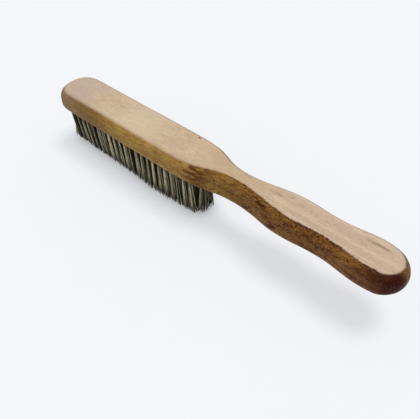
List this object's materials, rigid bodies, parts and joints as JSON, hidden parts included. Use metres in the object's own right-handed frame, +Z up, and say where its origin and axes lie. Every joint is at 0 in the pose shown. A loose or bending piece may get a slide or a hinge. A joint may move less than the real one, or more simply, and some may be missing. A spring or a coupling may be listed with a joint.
{
  "type": "wire brush",
  "caption": "Hand wire brush: a one-piece wooden head and contoured handle, with rows of stiff wire tufts folded into blind holes in the head.",
  "frame": {"origin": "middle of the bounding box in plan, on the plane of the tuft tips", "axes": "+X along the brush from the tip of the head to the end of the handle, +Y across it, +Z up from the tuft tips to the flat back"},
  "size_m": [0.29, 0.0354, 0.0498],
  "materials": {
    "beech": "satin, sanded and oiled beech",
    "dull_wire": "dull, darkened wire",
    "anchor_steel": "plain flat steel strip"
  },
  "bodies": {
    "block": {"wood_block": "beech", "anchor_strip_01": "anchor_steel", "anchor_strip_02": "anchor_steel", "anchor_strip_03": "anchor_steel", "anchor_strip_04": "anchor_steel", "anchor_strip_05": "anchor_steel", "anchor_strip_06": "anchor_steel", "anchor_strip_07": "anchor_steel", "anchor_strip_08": "anchor_steel", "anchor_strip_09": "anchor_steel", "anchor_strip_10": "anchor_steel", "anchor_strip_11": "anchor_steel", "anchor_strip_12": "anchor_steel", "anchor_strip_13": "anchor_steel", "anchor_strip_14": "anchor_steel", "anchor_strip_15": "anchor_steel", "anchor_strip_16": "anchor_steel", "anchor_strip_17": "anchor_steel", "anchor_strip_18": "anchor_steel", "anchor_strip_19": "anchor_steel", "anchor_strip_20": "anchor_steel", "anchor_strip_21": "anchor_steel", "anchor_strip_22": "anchor_steel", "anchor_strip_23": "anchor_steel", "anchor_strip_24": "anchor_steel"},
    "wires_01": {"tuft_row_01": "dull_wire"},
    "wires_02": {"tuft_row_02": "dull_wire"},
    "wires_03": {"tuft_row_03": "dull_wire"},
    "wires_04": {"tuft_row_04": "dull_wire"},
    "wires_05": {"tuft_row_05": "dull_wire"},
    "wires_06": {"tuft_row_06": "dull_wire"},
    "wires_07": {"tuft_row_07": "dull_wire"},
    "wires_08": {"tuft_row_08": "dull_wire"},
    "wires_09": {"tuft_row_09": "dull_wire"},
    "wires_10": {"tuft_row_10": "dull_wire"},
    "wires_11": {"tuft_row_11": "dull_wire"},
    "wires_12": {"tuft_row_12": "dull_wire"},
    "wires_13": {"tuft_row_13": "dull_wire"},
    "wires_14": {"tuft_row_14": "dull_wire"},
    "wires_15": {"tuft_row_15": "dull_wire"},
    "wires_16": {"tuft_row_16": "dull_wire"},
    "wires_17": {"tuft_row_17": "dull_wire"},
    "wires_18": {"tuft_row_18": "dull_wire"},
    "wires_19": {"tuft_row_19": "dull_wire"},
    "wires_20": {"tuft_row_20": "dull_wire"},
    "wires_21": {"tuft_row_21": "dull_wire"},
    "wires_22": {"tuft_row_22": "dull_wire"},
    "wires_23": {"tuft_row_23": "dull_wire"},
    "wires_24": {"tuft_row_24": "dull_wire"}
  },
  "joints": [
    {"name": "tuft_flex_01", "type": "hinge", "parent": "block", "child": "wires_01", "pos_m": [-0.13862, 0, 0.0342], "axis": [0, 1, 0], "range_deg": [-5, 5], "stiffness_Nm_per_rad": 0.1},
    {"name": "tuft_flex_02", "type": "hinge", "parent": "block", "child": "wires_02", "pos_m": [-0.13272, 0, 0.0342], "axis": [0, 1, 0], "range_deg": [-5, 5], "stiffness_Nm_per_rad": 0.1},
    {"name": "tuft_flex_03", "type": "hinge", "parent": "block", "child": "wires_03", "pos_m": [-0.12682, 0, 0.0342], "axis": [0, 1, 0], "range_deg": [-5, 5], "stiffness_Nm_per_rad": 0.1},
    {"name": "tuft_flex_04", "type": "hinge", "parent": "block", "child": "wires_04", "pos_m": [-0.12092, 0, 0.0342], "axis": [0, 1, 0], "range_deg": [-5, 5], "stiffness_Nm_per_rad": 0.1},
    {"name": "tuft_flex_05", "type": "hinge", "parent": "block", "child": "wires_05", "pos_m": [-0.11502, 0, 0.0342], "axis": [0, 1, 0], "range_deg": [-5, 5], "stiffness_Nm_per_rad": 0.1},
    {"name": "tuft_flex_06", "type": "hinge", "parent": "block", "child": "wires_06", "pos_m": [-0.10912, 0, 0.0342], "axis": [0, 1, 0], "range_deg": [-5, 5], "stiffness_Nm_per_rad": 0.1},
    {"name": "tuft_flex_07", "type": "hinge", "parent": "block", "child": "wires_07", "pos_m": [-0.10322, 0, 0.0342], "axis": [0, 1, 0], "range_deg": [-5, 5], "stiffness_Nm_per_rad": 0.1},
    {"name": "tuft_flex_08", "type": "hinge", "parent": "block", "child": "wires_08", "pos_m": [-0.09732, 0, 0.0342], "axis": [0, 1, 0], "range_deg": [-5, 5], "stiffness_Nm_per_rad": 0.1},
    {"name": "tuft_flex_09", "type": "hinge", "parent": "block", "child": "wires_09", "pos_m": [-0.09142, 0, 0.0342], "axis": [0, 1, 0], "range_deg": [-5, 5], "stiffness_Nm_per_rad": 0.1},
    {"name": "tuft_flex_10", "type": "hinge", "parent": "block", "child": "wires_10", "pos_m": [-0.08552, 0, 0.0342], "axis": [0, 1, 0], "range_deg": [-5, 5], "stiffness_Nm_per_rad": 0.1},
    {"name": "tuft_flex_11", "type": "hinge", "parent": "block", "child": "wires_11", "pos_m": [-0.07962, 0, 0.0342], "axis": [0, 1, 0], "range_deg": [-5, 5], "stiffness_Nm_per_rad": 0.1},
    {"name": "tuft_flex_12", "type": "hinge", "parent": "block", "child": "wires_12", "pos_m": [-0.07372, 0, 0.0342], "axis": [0, 1, 0], "range_deg": [-5, 5], "stiffness_Nm_per_rad": 0.1},
    {"name": "tuft_flex_13", "type": "hinge", "parent": "block", "child": "wires_13", "pos_m": [-0.06782, 0, 0.0342], "axis": [0, 1, 0], "range_deg": [-5, 5], "stiffness_Nm_per_rad": 0.1},
    {"name": "tuft_flex_14", "type": "hinge", "parent": "block", "child": "wires_14", "pos_m": [-0.06192, 0, 0.0342], "axis": [0, 1, 0], "range_deg": [-5, 5], "stiffness_Nm_per_rad": 0.1},
    {"name": "tuft_flex_15", "type": "hinge", "parent": "block", "child": "wires_15", "pos_m": [-0.05602, 0, 0.0342], "axis": [0, 1, 0], "range_deg": [-5, 5], "stiffness_Nm_per_rad": 0.1},
    {"name": "tuft_flex_16", "type": "hinge", "parent": "block", "child": "wires_16", "pos_m": [-0.05012, 0, 0.0342], "axis": [0, 1, 0], "range_deg": [-5, 5], "stiffness_Nm_per_rad": 0.1},
    {"name": "tuft_flex_17", "type": "hinge", "parent": "block", "child": "wires_17", "pos_m": [-0.04422, 0, 0.0342], "axis": [0, 1, 0], "range_deg": [-5, 5], "stiffness_Nm_per_rad": 0.1},
    {"name": "tuft_flex_18", "type": "hinge", "parent": "block", "child": "wires_18", "pos_m": [-0.03832, 0, 0.0342], "axis": [0, 1, 0], "range_deg": [-5, 5], "stiffness_Nm_per_rad": 0.1},
    {"name": "tuft_flex_19", "type": "hinge", "parent": "block", "child": "wires_19", "pos_m": [-0.03242, 0, 0.0342], "axis": [0, 1, 0], "range_deg": [-5, 5], "stiffness_Nm_per_rad": 0.1},
    {"name": "tuft_flex_20", "type": "hinge", "parent": "block", "child": "wires_20", "pos_m": [-0.02652, 0, 0.0342], "axis": [0, 1, 0], "range_deg": [-5, 5], "stiffness_Nm_per_rad": 0.1},
    {"name": "tuft_flex_21", "type": "hinge", "parent": "block", "child": "wires_21", "pos_m": [-0.02062, 0, 0.0342], "axis": [0, 1, 0], "range_deg": [-5, 5], "stiffness_Nm_per_rad": 0.1},
    {"name": "tuft_flex_22", "type": "hinge", "parent": "block", "child": "wires_22", "pos_m": [-0.01472, 0, 0.0342], "axis": [0, 1, 0], "range_deg": [-5, 5], "stiffness_Nm_per_rad": 0.1},
    {"name": "tuft_flex_23", "type": "hinge", "parent": "block", "child": "wires_23", "pos_m": [-0.00882, 0, 0.0342], "axis": [0, 1, 0], "range_deg": [-5, 5], "stiffness_Nm_per_rad": 0.1},
    {"name": "tuft_flex_24", "type": "hinge", "parent": "block", "child": "wires_24", "pos_m": [-0.00292, 0, 0.0342], "axis": [0, 1, 0], "range_deg": [-5, 5], "stiffness_Nm_per_rad": 0.1}
  ],
  "couplings": [
    {"joint": "tuft_flex_02", "follows": "tuft_flex_01", "ratio": 1},
    {"joint": "tuft_flex_03", "follows": "tuft_flex_01", "ratio": 1},
    {"joint": "tuft_flex_04", "follows": "tuft_flex_01", "ratio": 1},
    {"joint": "tuft_flex_05", "follows": "tuft_flex_01", "ratio": 1},
    {"joint": "tuft_flex_06", "follows": "tuft_flex_01", "ratio": 1},
    {"joint": "tuft_flex_07", "follows": "tuft_flex_01", "ratio": 1},
    {"joint": "tuft_flex_08", "follows": "tuft_flex_01", "ratio": 1},
    {"joint": "tuft_flex_09", "follows": "tuft_flex_01", "ratio": 1},
    {"joint": "tuft_flex_10", "follows": "tuft_flex_01", "ratio": 1},
    {"joint": "tuft_flex_11", "follows": "tuft_flex_01", "ratio": 1},
    {"joint": "tuft_flex_12", "follows": "tuft_flex_01", "ratio": 1},
    {"joint": "tuft_flex_13", "follows": "tuft_flex_01", "ratio": 1},
    {"joint": "tuft_flex_14", "follows": "tuft_flex_01", "ratio": 1},
    {"joint": "tuft_flex_15", "follows": "tuft_flex_01", "ratio": 1},
    {"joint": "tuft_flex_16", "follows": "tuft_flex_01", "ratio": 1},
    {"joint": "tuft_flex_17", "follows": "tuft_flex_01", "ratio": 1},
    {"joint": "tuft_flex_18", "follows": "tuft_flex_01", "ratio": 1},
    {"joint": "tuft_flex_19", "follows": "tuft_flex_01", "ratio": 1},
    {"joint": "tuft_flex_20", "follows": "tuft_flex_01", "ratio": 1},
    {"joint": "tuft_flex_21", "follows": "tuft_flex_01", "ratio": 1},
    {"joint": "tuft_flex_22", "follows": "tuft_flex_01", "ratio": 1},
    {"joint": "tuft_flex_23", "follows": "tuft_flex_01", "ratio": 1},
    {"joint": "tuft_flex_24", "follows": "tuft_flex_01", "ratio": 1}
  ]
}
